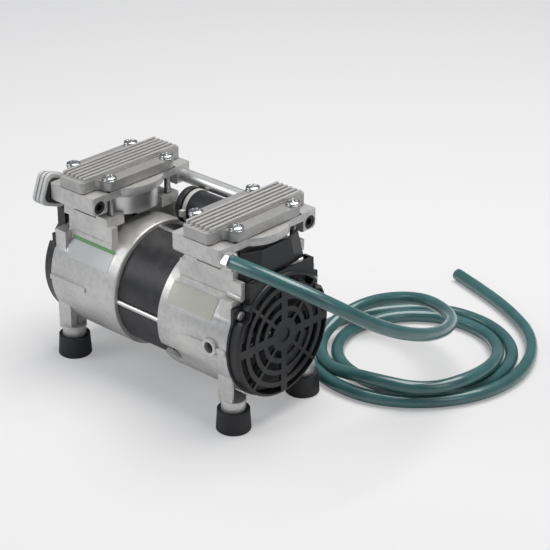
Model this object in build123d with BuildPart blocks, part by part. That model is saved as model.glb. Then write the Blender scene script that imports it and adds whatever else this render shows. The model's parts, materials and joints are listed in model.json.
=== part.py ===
from build123d import *
import math
import os

os.makedirs("parts", exist_ok=True)

# Twin-cylinder oil-free vacuum pump, millimetres, +Z up, +X along the motor shaft to the front.
# The origin is the centre of the four feet, on the surface that they stand on.

# ---------------------------------------------------------------- driving sizes
foot_spacing_x = 203.0
foot_spacing_y = 89.0
foot_height = 20.0
foot_base_r = 15.5
foot_top_r = 14.3
foot_recess_depth = 4.0
base_hole_r = 3.2
bush_r = 5.0
tapped_r = 2.6

pump_x = -3.0
shaft_z = 80.0
head_offset = 76.6
fit_gap = 0.05
seat_gap = 0.3

shell_r = 59.0
shell_wall = 3.6
lip_offset = 27.0
end_offset = 110.0
stator_seat_wall = 4.5
stator_half = 35.0
rotor_r = 27.5
air_gap = 0.5
shaft_r = 6.0
tie_rod_r = 2.5
tie_rod_inset = 0.5

bearing_r = 16.0
bearing_width = 10.0
bearing_race = 3.0
bearing_wall = 6.0
bearing_wall_offset = 49.0

tower_half_y = 44.5
tower_wall = 7.0
tower_in = 34.2
tower_out = 21.8
tower_wall_rise = 3.0
step_drop = 12.0
step_depth = 0.8
deck_rise = 7.6
deck_thickness = 7.1
lug_rise = 2.7
lug_height = 9.8
lug_inner_y = 23.3

bore_r = 29.5
sleeve_r = 33.6
sleeve_height = 16.4
valve_plate_thickness = 3.5
block_rise = 10.5
block_half_x = 28.0
block_half_y = 59.8
bar_width = 16.8
bar_drop = 7.4
disc_r = 38.5
port_inset = 8.3
port_drop = 0.2
port_r = 6.3
gasket_thickness = 0.8
gasket_inset = 0.6

screw_spacing_x = 46.9
screw_spacing_y = 69.8
screw_r = 3.0
screw_head_r = 6.2
screw_head_height = 3.2
washer_r = 6.6
washer_thickness = 1.2

cover_half_x = 28.6
cover_half_y = 41.4
cover_thickness = 8.7
tongue_half_x = 15.6
tongue_half_y = 60.0
tongue_rise = 1.2
fin_count = 6
fin_pitch = 5.3
fin_thickness = 2.6
fin_height = 3.2
fin_half_y = 56.0

throw = 4.0
journal_r = 12.5
rod_width = 12.0
rod_bearing_r = 23.5
rod_eye_r = 27.5
piston_r = 25.0
piston_thickness = 5.2
cup_thickness = 0.8
cup_lip_height = 3.4
cap_r = 20.0
cap_thickness = 1.5
reed_lift = 1.5
reed_thickness = 0.4
reed_length = 24.0
reed_width = 10.0
reed_y = 15.0

guard_inset = 2.0
guard_rim_inset = 0.4
guard_depth = 12.7
guard_wall = 2.4
guard_frame_half_y = 39.5
guard_frame_depth = 10.0
guard_screw_inset = 0.7
guard_screw_angle = 35.25
guard_screw_r = 2.0
guard_screw_head_r = 4.2
guard_screw_head_height = 2.6
guard_screw_reach = 8.0
fan_tip_gap = 5.4
fan_end_gap = 1.6
fan_depth = 9.0
fan_blades = 7

capacitor_r = 17.0
capacitor_length = 52.0
capacitor_y = 34.0
capacitor_lift = 3.2
tube_r = 6.25
tube_bore_r = 4.6

hose_r = 6.0
hose_run_share = 0.45

# ---------------------------------------------------------------- places worked out from them
shell_bore_r = shell_r - shell_wall
shell_top_z = shaft_z + shell_r
stator_r = shell_r - stator_seat_wall
tie_rod_circle = stator_r - tie_rod_inset
tower_wall_top_z = shell_top_z + tower_wall_rise
step_z = shell_top_z - step_drop
deck_z = shell_top_z + deck_rise
lug_top_z = deck_z + lug_rise
sleeve_top_z = deck_z + sleeve_height
block_top_z = sleeve_top_z + block_rise
bar_bottom_z = sleeve_top_z - bar_drop
port_y = block_half_y - port_inset
port_z = sleeve_top_z - port_drop
guard_r = shell_r - guard_inset
guard_rim_r = shell_r - guard_rim_inset
guard_frame_top_z = shell_top_z
guard_screw_y = (guard_r - guard_screw_inset) * math.cos(math.radians(guard_screw_angle))
guard_screw_z = shaft_z + (guard_r - guard_screw_inset) * math.sin(math.radians(guard_screw_angle))
fan_r = shell_bore_r - fan_tip_gap
capacitor_reach = stator_r + capacitor_r + capacitor_lift
capacitor_z = shaft_z + math.sqrt(capacitor_reach**2 - capacitor_y**2)
head_x = pump_x + head_offset
lip_x = pump_x + lip_offset
end_x = pump_x + end_offset
stator_end_x = pump_x + stator_half
wall_x = pump_x + bearing_wall_offset
wall_out_x = wall_x + bearing_wall
foot_x = foot_spacing_x / 2
foot_y = foot_spacing_y / 2
screw_x = screw_spacing_x / 2
screw_y = screw_spacing_y / 2
tower_in_x = head_x - tower_in
tower_out_x = head_x + tower_out
plate_top_z = sleeve_top_z + valve_plate_thickness
cover_z = block_top_z + gasket_thickness
ledge_z = cover_z + cover_thickness
tongue_z = ledge_z + tongue_rise
guard_x = end_x + guard_depth
pump_axis = Axis((pump_x, 0, 0), (0, 0, 1))
flip_axis = Axis((pump_x, 0, shaft_z), (0, 1, 0))
head_corners = [(head_x + i * screw_x, j * screw_y) for i in (-1, 1) for j in (-1, 1)]
foot_places = [(i * foot_x, j * foot_y) for i in (-1, 1) for j in (-1, 1)]


def write(part, name):
    """Labels a finished piece and writes its STEP file."""
    part.label = name
    export_step(part, f"parts/{name}.step")


def write_pair(part, name):
    """Writes a front piece and its twin at the rear, turned half round the pump's upright axis."""
    write(part, f"front_{name}")
    with BuildPart() as twin:
        add(part.rotate(pump_axis, 180))
    write(twin.part, f"rear_{name}")


# ---------------------------------------------------------------- motor end housings
leg_wall = 2.4
leg_half_y = 52.0
leg_inner_y = 33.0
leg_back_x = 90.6
rear_leg_back_x = 91.0
leg_pad_z = 25.0
leg_pad_thickness = 4.8
leg_top_z = 62.0
leg_slot_width = 3.0
leg_slot_height = 9.0
boss_r = 10.8
motor_wall = 7.0
motor_bore_r = shell_r - motor_wall
hub_r = 21.0
hub_length = 11.0
hub_lip = 1.0
hub_mouth_r = 13.0
vent_r = 8.0
vent_circle = 36.0
vent_count = 6
rod_boss_r = 6.0
wing_length = 14.0
wing_inner_y = 36.0
wing_top_z = 125.0
wing_foot_z = 96.0
ridge_length = 46.0
ridge_height = 4.5
ridge_depth = 1.5
cable_x = 88.5
cable_r = 5.0
cable_boss_r = 8.0
cable_boss_depth = 2.4
notch_length = 24.0
notch_angle = -26.0
notch_width = 12.0
lug_inner_x = 14.0
cheek_reach = 4.0
cheek_foot_z = 127.0
cheek_rise = 2.0
cheek_bead_r = 3.2

with BuildPart() as front_housing:
    # round shell
    with BuildSketch(Plane.YZ.offset(lip_x)):
        with Locations((0, shaft_z)):
            Circle(shell_r)
    extrude(amount=end_x - lip_x)
    fillet(front_housing.edges().filter_by(GeomType.CIRCLE).group_by(Axis.X)[0], radius=1.5)
    # side walls of the cylinder tower, with the lower face standing a step proud
    with BuildSketch(Plane.XY.offset(shaft_z)):
        for side in (-1, 1):
            with Locations(((tower_in_x + tower_out_x) / 2, side * (tower_half_y - tower_wall / 2))):
                Rectangle(tower_out_x - tower_in_x, tower_wall)
    extrude(amount=tower_wall_top_z - shaft_z)
    with BuildSketch(Plane.XY.offset(shaft_z)):
        for side in (-1, 1):
            with Locations(((tower_in_x + tower_out_x) / 2, side * (tower_half_y + step_depth / 2))):
                Rectangle(tower_out_x - tower_in_x, step_depth)
    extrude(amount=step_z - shaft_z)
    # deck that the cylinder stands on, and the four lugs for the head screws
    with BuildSketch(Plane.XY.offset(deck_z - deck_thickness)):
        with Locations((head_x, 0)):
            Rectangle(2 * tower_out, 2 * tower_half_y)
    extrude(amount=deck_thickness)
    with BuildSketch(Plane.XY.offset(lug_top_z - lug_height)):
        for i in (-1, 1):
            for j in (-1, 1):
                with Locations((head_x + i * (block_half_x + lug_inner_x) / 2, j * (tower_half_y + lug_inner_y) / 2)):
                    Rectangle(block_half_x - lug_inner_x, tower_half_y - lug_inner_y)
    extrude(amount=lug_height)
    # posts beside the tower that carry the fan guard
    with BuildSketch(Plane.XY.offset(wing_foot_z)):
        for side in (-1, 1):
            with Locations((end_x - wing_length / 2, side * (leg_half_y + wing_inner_y) / 2)):
                Rectangle(wing_length, leg_half_y - wing_inner_y)
    extrude(amount=wing_top_z - wing_foot_z)
    # cheek that runs past one side of the guard frame, with a bead along its lower edge
    cheek_inner_y = guard_frame_half_y + seat_gap
    with BuildSketch(Plane.XY.offset(cheek_foot_z)):
        with Locations(((tower_out_x + end_x + cheek_reach) / 2, -(tower_half_y + cheek_inner_y) / 2)):
            Rectangle(end_x + cheek_reach - tower_out_x, tower_half_y - cheek_inner_y)
    extrude(amount=shell_top_z + cheek_rise - cheek_foot_z)
    with BuildSketch(Plane.YZ.offset(tower_out_x)):
        with Locations((-cheek_inner_y - cheek_bead_r, cheek_foot_z)):
            Circle(cheek_bead_r)
    extrude(amount=end_x + cheek_reach - tower_out_x)
    # ridges along both sides
    with BuildSketch(Plane.XZ.offset(0)):
        with Locations((end_x - ridge_length / 2, shaft_z)):
            Rectangle(ridge_length, ridge_height)
    extrude(amount=shell_r + ridge_depth, both=True)
    # bores: cylinder register, stator seat, winding room, crank chamber
    with Locations((head_x, 0, (deck_z + lug_top_z) / 2)):
        Cylinder(sleeve_r + seat_gap, lug_top_z - deck_z, mode=Mode.SUBTRACT)
    with BuildSketch(Plane.YZ.offset(lip_x)):
        with Locations((0, shaft_z)):
            Circle(stator_r + fit_gap)
    extrude(amount=stator_end_x - lip_x, mode=Mode.SUBTRACT)
    with BuildSketch(Plane.YZ.offset(stator_end_x)):
        with Locations((0, shaft_z)):
            Circle(motor_bore_r)
    extrude(amount=wall_x - stator_end_x, mode=Mode.SUBTRACT)
    with BuildSketch(Plane.YZ.offset(wall_out_x)):
        with Locations((0, shaft_z)):
            Circle(shell_bore_r)
    extrude(amount=end_x - wall_out_x, mode=Mode.SUBTRACT)
    with BuildSketch(Plane.XY.offset(shaft_z)):
        with Locations(((wall_out_x + tower_out_x) / 2, 0)):
            Rectangle(tower_out_x - wall_out_x, 2 * (tower_half_y - tower_wall))
    extrude(amount=deck_z - deck_thickness - shaft_z, mode=Mode.SUBTRACT)
    with Locations((head_x, 0, deck_z - deck_thickness / 2)):
        Cylinder(bore_r, deck_thickness, mode=Mode.SUBTRACT)
    # bearing hub, vents and tie-rod bosses in the bearing wall
    with BuildSketch(Plane.YZ.offset(wall_x)):
        with Locations((0, shaft_z)):
            Circle(hub_r)
    extrude(amount=hub_length)
    with BuildSketch(Plane.YZ.offset(stator_end_x)):
        with Locations((0, shaft_z)):
            with PolarLocations(tie_rod_circle, 4):
                Circle(rod_boss_r)
        with Locations((0, shaft_z)):
            Circle(shell_r - ridge_depth, mode=Mode.INTERSECT)
    extrude(amount=wall_x - stator_end_x)
    with BuildSketch(Plane.YZ.offset(wall_x)):
        with Locations((0, shaft_z)):
            Circle(bearing_r)
    extrude(amount=hub_length - hub_lip, mode=Mode.SUBTRACT)
    with BuildSketch(Plane.YZ.offset(wall_x)):
        with Locations((0, shaft_z)):
            Circle(hub_mouth_r)
            with PolarLocations(vent_circle, vent_count, start_angle=30):
                Circle(vent_r)
    extrude(amount=hub_length, mode=Mode.SUBTRACT)
    with BuildSketch(Plane.YZ.offset(lip_x)):
        with Locations((0, shaft_z)):
            with PolarLocations(tie_rod_circle, 4):
                Circle(tie_rod_r + fit_gap)
    extrude(amount=wall_out_x - lip_x, mode=Mode.SUBTRACT)
    # screw holes, the seat of the cable bush, and the cut-out in the lower edge of the lip
    with BuildSketch(Plane.XY.offset(lug_top_z - lug_height)):
        with Locations(*head_corners):
            Circle(screw_r + fit_gap)
    extrude(amount=lug_height, mode=Mode.SUBTRACT)
    with BuildSketch(Plane.YZ.offset(end_x)):
        with Locations((-guard_screw_y, guard_screw_z), (guard_screw_y, guard_screw_z)):
            Circle(guard_screw_r + fit_gap)
    extrude(amount=-guard_screw_reach, mode=Mode.SUBTRACT)
    with BuildSketch(Plane.XZ.offset(0)):
        with Locations((cable_x, shaft_z)):
            Circle(cable_boss_r + fit_gap)
    extrude(amount=shell_r + ridge_depth, mode=Mode.SUBTRACT)
    notch_plane = Plane((lip_x, 0, shaft_z), x_dir=(1, 0, 0), z_dir=(0, -1, 0)).rotated((-notch_angle, 0, 0))
    with BuildSketch(notch_plane):
        SlotOverall(2 * notch_length, notch_width)
    extrude(amount=shell_r + ridge_depth, mode=Mode.SUBTRACT)


def legs(back_x, face_x, pad_x):
    """A pair of hollow legs, open at the end face, with a slot in the back wall of each."""
    towards_face = math.copysign(1, face_x)
    pocket_z = leg_pad_z + leg_pad_thickness
    with BuildPart() as pair:
        with BuildSketch(Plane.XY.offset(leg_pad_z)):
            for side in (-1, 1):
                with Locations(((back_x + face_x) / 2, side * (leg_half_y + leg_inner_y) / 2)):
                    Rectangle(abs(face_x - back_x), leg_half_y - leg_inner_y)
        extrude(amount=leg_top_z - leg_pad_z)
        pocket_x = back_x + towards_face * leg_wall
        with BuildSketch(Plane.XY.offset(pocket_z)):
            for side in (-1, 1):
                with Locations(((pocket_x + face_x) / 2, side * (leg_half_y + leg_inner_y) / 2 - side * leg_wall)):
                    Rectangle(abs(face_x - pocket_x), leg_half_y - leg_inner_y)
        extrude(amount=leg_top_z - pocket_z, mode=Mode.SUBTRACT)
        with BuildSketch(Plane.YZ.offset(back_x)):
            for side in (-1, 1):
                with Locations((side * foot_y, pocket_z + leg_slot_height / 2)):
                    Rectangle(leg_slot_width, leg_slot_height)
        extrude(amount=towards_face * leg_wall, mode=Mode.SUBTRACT)
        with BuildSketch(Plane.XY.offset(foot_height)):
            for side in (-1, 1):
                with Locations((pad_x, side * foot_y)):
                    Circle(boss_r)
        extrude(amount=leg_pad_z - foot_height + leg_pad_thickness)
        with BuildSketch(Plane.XY.offset(foot_height)):
            for side in (-1, 1):
                with Locations((pad_x, side * foot_y)):
                    Circle(bush_r)
        extrude(amount=foot_recess_depth, mode=Mode.SUBTRACT)
        with BuildSketch(Plane.XY.offset(foot_height)):
            for side in (-1, 1):
                with Locations((pad_x, side * foot_y)):
                    Circle(tapped_r)
        extrude(amount=leg_pad_z - foot_height + leg_pad_thickness, mode=Mode.SUBTRACT)
        with BuildSketch(Plane.YZ.offset(back_x)):
            with Locations((0, shaft_z)):
                Circle((shell_r + shell_bore_r) / 2)
        extrude(amount=face_x - back_x, mode=Mode.SUBTRACT)
    return pair.part


with BuildPart() as front_casting:
    add(front_housing.part)
    add(legs(leg_back_x, end_x, foot_x))
write(front_casting.part, "front_housing")

with BuildPart() as rear_casting:
    add(front_housing.part.rotate(pump_axis, 180))
    add(legs(2 * pump_x - rear_leg_back_x, 2 * pump_x - end_x, -foot_x))
write(rear_casting.part, "rear_housing")

# bushes in the side of both castings, where the motor cable enters
with BuildPart() as front_bush:
    with BuildSketch(Plane.XZ.offset(shell_bore_r)):
        with Locations((cable_x, shaft_z)):
            Circle(cable_boss_r)
            Circle(cable_r, mode=Mode.SUBTRACT)
    extrude(amount=shell_wall + cable_boss_depth)
with BuildPart() as cable_bushes:
    add(front_bush.part)
    add(front_bush.part.rotate(pump_axis, 180))
write(cable_bushes.part, "cable_bushes")

# ---------------------------------------------------------------- motor
winding_inner_r = 32.0
winding_outer_r = 46.5
winding_reach = 9.0
groove_r = 3.4

with BuildPart() as stator_core:
    with BuildSketch(Plane.YZ.offset(pump_x)):
        with Locations((0, shaft_z)):
            Circle(stator_r)
            Circle(rotor_r + air_gap, mode=Mode.SUBTRACT)
            with PolarLocations(tie_rod_circle, 4):
                Circle(groove_r, mode=Mode.SUBTRACT)
    extrude(amount=stator_half, both=True)
write(stator_core.part, "stator_core")

with BuildPart() as stator_windings:
    for side in (-1, 1):
        ring_x = pump_x + side * (stator_half + winding_reach / 2)
        with BuildSketch(Plane.XZ):
            with Locations((ring_x, shaft_z + (winding_inner_r + winding_outer_r) / 2)):
                RectangleRounded(winding_reach, winding_outer_r - winding_inner_r, winding_reach / 3)
        revolve(axis=Axis((0, 0, shaft_z), (1, 0, 0)))
write(stator_windings.part, "stator_windings")

with BuildPart() as tie_rods:
    with BuildSketch(Plane.YZ.offset(pump_x)):
        with Locations((0, shaft_z)):
            with PolarLocations(tie_rod_circle, 4):
                Circle(tie_rod_r)
    extrude(amount=bearing_wall_offset + bearing_wall, both=True)
write(tie_rods.part, "tie_rods")

shaft_overhang = 1.0
with BuildPart() as drive_shaft:
    with BuildSketch(Plane.YZ.offset(pump_x)):
        with Locations((0, shaft_z)):
            Circle(shaft_r)
    extrude(amount=end_offset + shaft_overhang, both=True)
    chamfer(drive_shaft.edges(), length=1)
write(drive_shaft.part, "drive_shaft")

with BuildPart() as rotor_core:
    with BuildSketch(Plane.YZ.offset(pump_x)):
        with Locations((0, shaft_z)):
            Circle(rotor_r)
            Circle(shaft_r, mode=Mode.SUBTRACT)
    extrude(amount=stator_half, both=True)
    fillet(rotor_core.edges().filter_by(GeomType.CIRCLE).sort_by(SortBy.RADIUS)[-2:], radius=1.5)
write(rotor_core.part, "rotor_core")

shield_gap = 0.1
with BuildPart() as bearing_outer_rings:
    for start_x, reach in ((wall_x, bearing_width), (2 * pump_x - wall_x, -bearing_width)):
        with BuildSketch(Plane.YZ.offset(start_x)):
            with Locations((0, shaft_z)):
                Circle(bearing_r)
                Circle(shaft_r + bearing_race + shield_gap, mode=Mode.SUBTRACT)
        extrude(amount=reach)
write(bearing_outer_rings.part, "bearing_outer_rings")

with BuildPart() as bearing_inner_rings:
    for start_x, reach in ((wall_x, bearing_width), (2 * pump_x - wall_x, -bearing_width)):
        with BuildSketch(Plane.YZ.offset(start_x)):
            with Locations((0, shaft_z)):
                Circle(shaft_r + bearing_race)
                Circle(shaft_r, mode=Mode.SUBTRACT)
        extrude(amount=reach)
write(bearing_inner_rings.part, "bearing_inner_rings")

# ---------------------------------------------------------------- eccentrics and fans
journal_length = rod_width + 2.0
weight_r = 32.0
weight_thickness = 8.0
weight_angle = 150.0
journal_x = head_x - journal_length / 2

with BuildPart() as front_eccentric:
    with BuildSketch(Plane.YZ.offset(journal_x)):
        with Locations((0, shaft_z + throw)):
            Circle(journal_r)
    extrude(amount=journal_length)
    # counterweight on the side away from the throw
    with BuildSketch(Plane.YZ.offset(journal_x + journal_length)):
        with Locations((0, shaft_z)):
            Circle(weight_r)
            with Locations((0, weight_r * math.cos(math.radians(weight_angle / 2)))):
                Rectangle(2 * weight_r, 2 * weight_r, align=(Align.CENTER, Align.MIN), mode=Mode.SUBTRACT)
            Circle(journal_r + throw)
    extrude(amount=weight_thickness)
    with BuildSketch(Plane.YZ.offset(journal_x)):
        with Locations((0, shaft_z)):
            Circle(shaft_r)
    extrude(amount=journal_length + weight_thickness, mode=Mode.SUBTRACT)
write(front_eccentric.part, "front_eccentric")

with BuildPart() as rear_eccentric:
    add(front_eccentric.part.rotate(flip_axis, 180))
write(rear_eccentric.part, "rear_eccentric")

fan_x = end_x - fan_end_gap - fan_depth
fan_hub_r = 14.0
blade_thickness = 1.8
blade_root_pitch = 50.0
blade_tip_pitch = 25.0
blade_root_chord = 10.0
blade_tip_chord = 17.0
blade_sink = 2.0

with BuildPart() as front_fan:
    with BuildSketch(Plane.YZ.offset(fan_x)):
        with Locations((0, shaft_z)):
            Circle(fan_hub_r)
    extrude(amount=fan_depth)
    fillet(front_fan.edges().group_by(Axis.X)[-1], radius=2)
    for blade in range(fan_blades):
        turn = 360 / fan_blades * blade
        out = Vector(0, -math.sin(math.radians(turn)), math.cos(math.radians(turn)))
        middle = Vector(fan_x + fan_depth / 2, 0, shaft_z)
        root = Plane(middle + out * (fan_hub_r - blade_sink), x_dir=(1, 0, 0), z_dir=out)
        tip = Plane(middle + out * fan_r, x_dir=(1, 0, 0), z_dir=out)
        with BuildSketch(root):
            Rectangle(blade_root_chord, blade_thickness, rotation=blade_root_pitch)
        with BuildSketch(tip):
            Rectangle(blade_tip_chord, blade_thickness, rotation=90 - blade_tip_pitch)
        loft()
    with BuildSketch(Plane.YZ.offset(fan_x)):
        with Locations((0, shaft_z)):
            Circle(shaft_r)
    extrude(amount=fan_depth, mode=Mode.SUBTRACT)
write_pair(front_fan.part, "fan")

# ---------------------------------------------------------------- connecting rods with rocking pistons
crank_z = shaft_z + throw
reed_z = sleeve_top_z - seat_gap - reed_thickness
cap_clearance = 1.3
cap_top_z = reed_z - reed_lift - cap_clearance
cup_z = cap_top_z - cap_thickness - cup_thickness
piston_z = cup_z - piston_thickness
shank_width = 18.0
shank_top_width = 26.0
shank_thickness = 8.0

with BuildPart() as front_connecting_rod:
    with BuildSketch(Plane.YZ.offset(head_x - rod_width / 2)):
        with Locations((0, crank_z)):
            Circle(rod_eye_r)
    extrude(amount=rod_width)
    with BuildSketch(Plane.YZ.offset(head_x - shank_thickness / 2)):
        with BuildLine():
            Polyline(
                (-shank_width / 2, crank_z),
                (-shank_width / 2, piston_z - rod_width),
                (-shank_top_width / 2, piston_z + piston_thickness / 2),
                (shank_top_width / 2, piston_z + piston_thickness / 2),
                (shank_width / 2, piston_z - rod_width),
                (shank_width / 2, crank_z),
                close=True,
            )
        make_face()
    extrude(amount=shank_thickness)
    with BuildSketch(Plane.XY.offset(piston_z)):
        with Locations((head_x, 0)):
            Circle(piston_r)
    extrude(amount=piston_thickness)
    with BuildSketch(Plane.YZ.offset(head_x - rod_width / 2)):
        with Locations((0, crank_z)):
            Circle(rod_bearing_r)
    extrude(amount=rod_width, mode=Mode.SUBTRACT)
write(front_connecting_rod.part, "front_connecting_rod")

with BuildPart() as front_rod_bearing:
    with BuildSketch(Plane.YZ.offset(head_x - rod_width / 2)):
        with Locations((0, crank_z)):
            Circle(rod_bearing_r)
            Circle(journal_r + fit_gap, mode=Mode.SUBTRACT)
    extrude(amount=rod_width)
write(front_rod_bearing.part, "front_rod_bearing")

cup_inner_r = 6.0
cup_flat_r = 26.0
with BuildPart() as front_cup_seal:
    with BuildSketch(Plane.XZ):
        with BuildLine():
            Polyline(
                (head_x + cup_inner_r, cup_z),
                (head_x + cup_flat_r, cup_z),
                (head_x + bore_r - seat_gap, cup_z + cup_lip_height),
                (head_x + bore_r - seat_gap - cup_thickness, cup_z + cup_lip_height),
                (head_x + cup_flat_r - cup_thickness / 2, cup_z + cup_thickness),
                (head_x + cup_inner_r, cup_z + cup_thickness),
                close=True,
            )
        make_face()
    revolve(axis=Axis((head_x, 0, 0), (0, 0, 1)))
write(front_cup_seal.part, "front_cup_seal")

with BuildPart() as front_piston_cap:
    with BuildSketch(Plane.XY.offset(cup_z + cup_thickness)):
        with Locations((head_x, 0)):
            Circle(cap_r)
    extrude(amount=cap_thickness)
    with BuildSketch(Plane.XY.offset(cup_z)):
        with Locations((head_x, 0)):
            Circle(cup_inner_r)
    extrude(amount=cup_thickness)
    chamfer(front_piston_cap.edges().group_by(Axis.Z)[-1], length=0.5)
write(front_piston_cap.part, "front_piston_cap")

for source, name in (
    (front_connecting_rod, "connecting_rod"),
    (front_rod_bearing, "rod_bearing"),
    (front_cup_seal, "cup_seal"),
    (front_piston_cap, "piston_cap"),
):
    with BuildPart() as twin:
        add(source.part.rotate(pump_axis, 180).moved(Location((0, 0, -2 * throw))))
    write(twin.part, f"rear_{name}")

# ---------------------------------------------------------------- cylinders and heads
with BuildPart() as front_cylinder:
    with BuildSketch(Plane.XY.offset(deck_z)):
        with Locations((head_x, 0)):
            Circle(sleeve_r)
            Circle(bore_r, mode=Mode.SUBTRACT)
    extrude(amount=sleeve_top_z - deck_z)
write_pair(front_cylinder.part, "cylinder")

port_hole_r = 3.2
with BuildPart() as front_valve_plate:
    with BuildSketch(Plane.XY.offset(sleeve_top_z)):
        with Locations((head_x, 0)):
            Circle(sleeve_r)
        with Locations((head_x + reed_length / 4, -reed_y), (head_x + reed_length / 4, reed_y)):
            Circle(port_hole_r, mode=Mode.SUBTRACT)
    extrude(amount=valve_plate_thickness)
write_pair(front_valve_plate.part, "valve_plate")

chamber_r = 27.0
partition = 4.0
passage_r = 2.8
passage_floor = 0.6
bar_fillet = 5.0
with BuildPart() as front_head_block:
    with BuildSketch(Plane.XY.offset(plate_top_z)):
        with Locations((head_x, 0)):
            Rectangle(2 * block_half_x, 2 * block_half_y)
            Circle(disc_r)
    extrude(amount=block_top_z - plate_top_z)
    with BuildSketch(Plane.XY.offset(bar_bottom_z)):
        for side in (-1, 1):
            with Locations((head_x, side * (block_half_y - bar_width / 2))):
                Rectangle(2 * block_half_x, bar_width)
    extrude(amount=plate_top_z - bar_bottom_z)
    bar_edges = front_head_block.edges().filter_by(Axis.X).group_by(Axis.Z)[0]
    fillet(bar_edges.sort_by(Axis.Y)[0], radius=bar_fillet)
    bar_edges = front_head_block.edges().filter_by(Axis.X).group_by(Axis.Z)[0]
    fillet(bar_edges.sort_by(Axis.Y)[-1], radius=bar_fillet)
    end_edges = front_head_block.edges().filter_by(Axis.Z)
    fillet(end_edges.group_by(Axis.Y)[0] + end_edges.group_by(Axis.Y)[-1], radius=2)
    # the two valve chambers, and the passage from each to its port
    with BuildSketch(Plane.XY.offset(plate_top_z)):
        with Locations((head_x, 0)):
            Circle(chamber_r)
            Rectangle(2 * chamber_r, partition, mode=Mode.SUBTRACT)
    extrude(amount=block_top_z - plate_top_z, mode=Mode.SUBTRACT)
    with BuildSketch(Plane.YZ.offset(head_x - block_half_x)):
        with Locations((-port_y, port_z), (port_y, port_z)):
            Circle(port_r)
    extrude(amount=2 * block_half_x, mode=Mode.SUBTRACT)
    with BuildSketch(Plane.XZ):
        with Locations((head_x, plate_top_z + passage_r + passage_floor)):
            Circle(passage_r)
    extrude(amount=port_y, both=True, mode=Mode.SUBTRACT)
    with Locations(*[(x, y, block_top_z) for x, y in head_corners]):
        Hole(screw_r + fit_gap)
write_pair(front_head_block.part, "head_block")

with BuildPart() as front_head_gasket:
    with BuildSketch(Plane.XY.offset(block_top_z)):
        with Locations((head_x, 0)):
            Rectangle(2 * (cover_half_x - gasket_inset), 2 * (cover_half_y - gasket_inset))
            Circle(chamber_r, mode=Mode.SUBTRACT)
            Rectangle(2 * chamber_r, partition)
        with Locations(*head_corners):
            Circle(screw_r + fit_gap, mode=Mode.SUBTRACT)
    extrude(amount=gasket_thickness)
write_pair(front_head_gasket.part, "head_gasket")

ear_r = 6.0
tongue_fillet = 4.0
side_relief = 1.0
with BuildPart() as front_head_cover:
    with BuildSketch(Plane.XY.offset(cover_z)) as cover_outline:
        with Locations((head_x, 0)):
            Rectangle(2 * cover_half_x, 2 * cover_half_y)
            Rectangle(2 * tongue_half_x, 2 * tongue_half_y)
        corners = cover_outline.vertices()
        fillet(corners.group_by(Axis.Y)[0] + corners.group_by(Axis.Y)[-1], radius=tongue_fillet)
        corners = cover_outline.vertices()
        fillet(corners.group_by(Axis.X)[0] + corners.group_by(Axis.X)[-1], radius=ear_r)
        inner = [v for v in cover_outline.vertices() if math.isclose(abs(v.Y), cover_half_y, abs_tol=fit_gap)]
        inner = [v for v in inner if math.isclose(abs(v.X - head_x), tongue_half_x, abs_tol=fit_gap)]
        fillet(inner, radius=tongue_fillet)
    extrude(amount=cover_thickness)
    # raised middle that runs out along both tongues, with the cooling fins on it
    with BuildSketch(Plane.XY.offset(ledge_z)):
        with Locations((head_x, 0)):
            RectangleRounded(2 * tongue_half_x, 2 * tongue_half_y, tongue_fillet)
    extrude(amount=tongue_rise)
    with BuildSketch(Plane.XY.offset(tongue_z)):
        with Locations((head_x, 0)):
            with GridLocations(fin_pitch, 1, fin_count, 1):
                RectangleRounded(fin_thickness, 2 * fin_half_y, fin_thickness / 3)
    extrude(amount=fin_height)
    with Locations(*[(x, y, ledge_z) for x, y in head_corners]):
        Hole(screw_r + fit_gap, depth=cover_thickness)
write_pair(front_head_cover.part, "head_cover")

screw_end_z = lug_top_z - lug_height
with BuildPart() as front_head_screws:
    with BuildSketch(Plane.XY.offset(screw_end_z)):
        with Locations(*head_corners):
            Circle(screw_r)
    extrude(amount=ledge_z - screw_end_z)
    with BuildSketch(Plane.XY.offset(ledge_z)):
        with Locations(*head_corners):
            Circle(washer_r)
    extrude(amount=washer_thickness)
    with BuildSketch(Plane.XY.offset(ledge_z + washer_thickness)):
        with Locations(*head_corners):
            Circle(screw_head_r)
    extrude(amount=screw_head_height)
    fillet(front_head_screws.edges().group_by(Axis.Z)[-1], radius=1.6)
write_pair(front_head_screws.part, "head_screws")

# ---------------------------------------------------------------- reed valves
clamp_length = 5.0
clamp_height = 1.6
reed_tip_r = 4.5
reed_root_x = head_x - reed_length / 2


def reed(z, y):
    """A thin tongue from its hinge line to a rounded tip over the port hole."""
    with BuildPart() as tongue:
        with BuildSketch(Plane.XY.offset(z)) as outline:
            with Locations((head_x, y)):
                Rectangle(reed_length, reed_width)
            fillet(outline.vertices().group_by(Axis.X)[-1], radius=reed_tip_r)
        extrude(amount=reed_thickness)
    return tongue.part


write_pair(reed(reed_z, -reed_y), "intake_reed")
write_pair(reed(plate_top_z + seat_gap, reed_y), "exhaust_reed")

with BuildPart() as front_reed_clamps:
    for z, y in ((sleeve_top_z - clamp_height, -reed_y), (plate_top_z, reed_y)):
        with BuildSketch(Plane.XY.offset(z)):
            with Locations((reed_root_x - clamp_length / 2 - seat_gap, y)):
                Rectangle(clamp_length, reed_width)
        extrude(amount=clamp_height)
write_pair(front_reed_clamps.part, "reed_clamps")

# ---------------------------------------------------------------- pipework
tube_sink = 8.0
tube_start_x = 2 * pump_x - head_x + block_half_x - tube_sink
with BuildPart() as transfer_tube:
    with BuildSketch(Plane.YZ.offset(tube_start_x)):
        with Locations((port_y, port_z)):
            Circle(tube_r)
            Circle(tube_bore_r, mode=Mode.SUBTRACT)
    extrude(amount=2 * (pump_x - tube_start_x))
write(transfer_tube.part, "transfer_tube")

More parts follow.
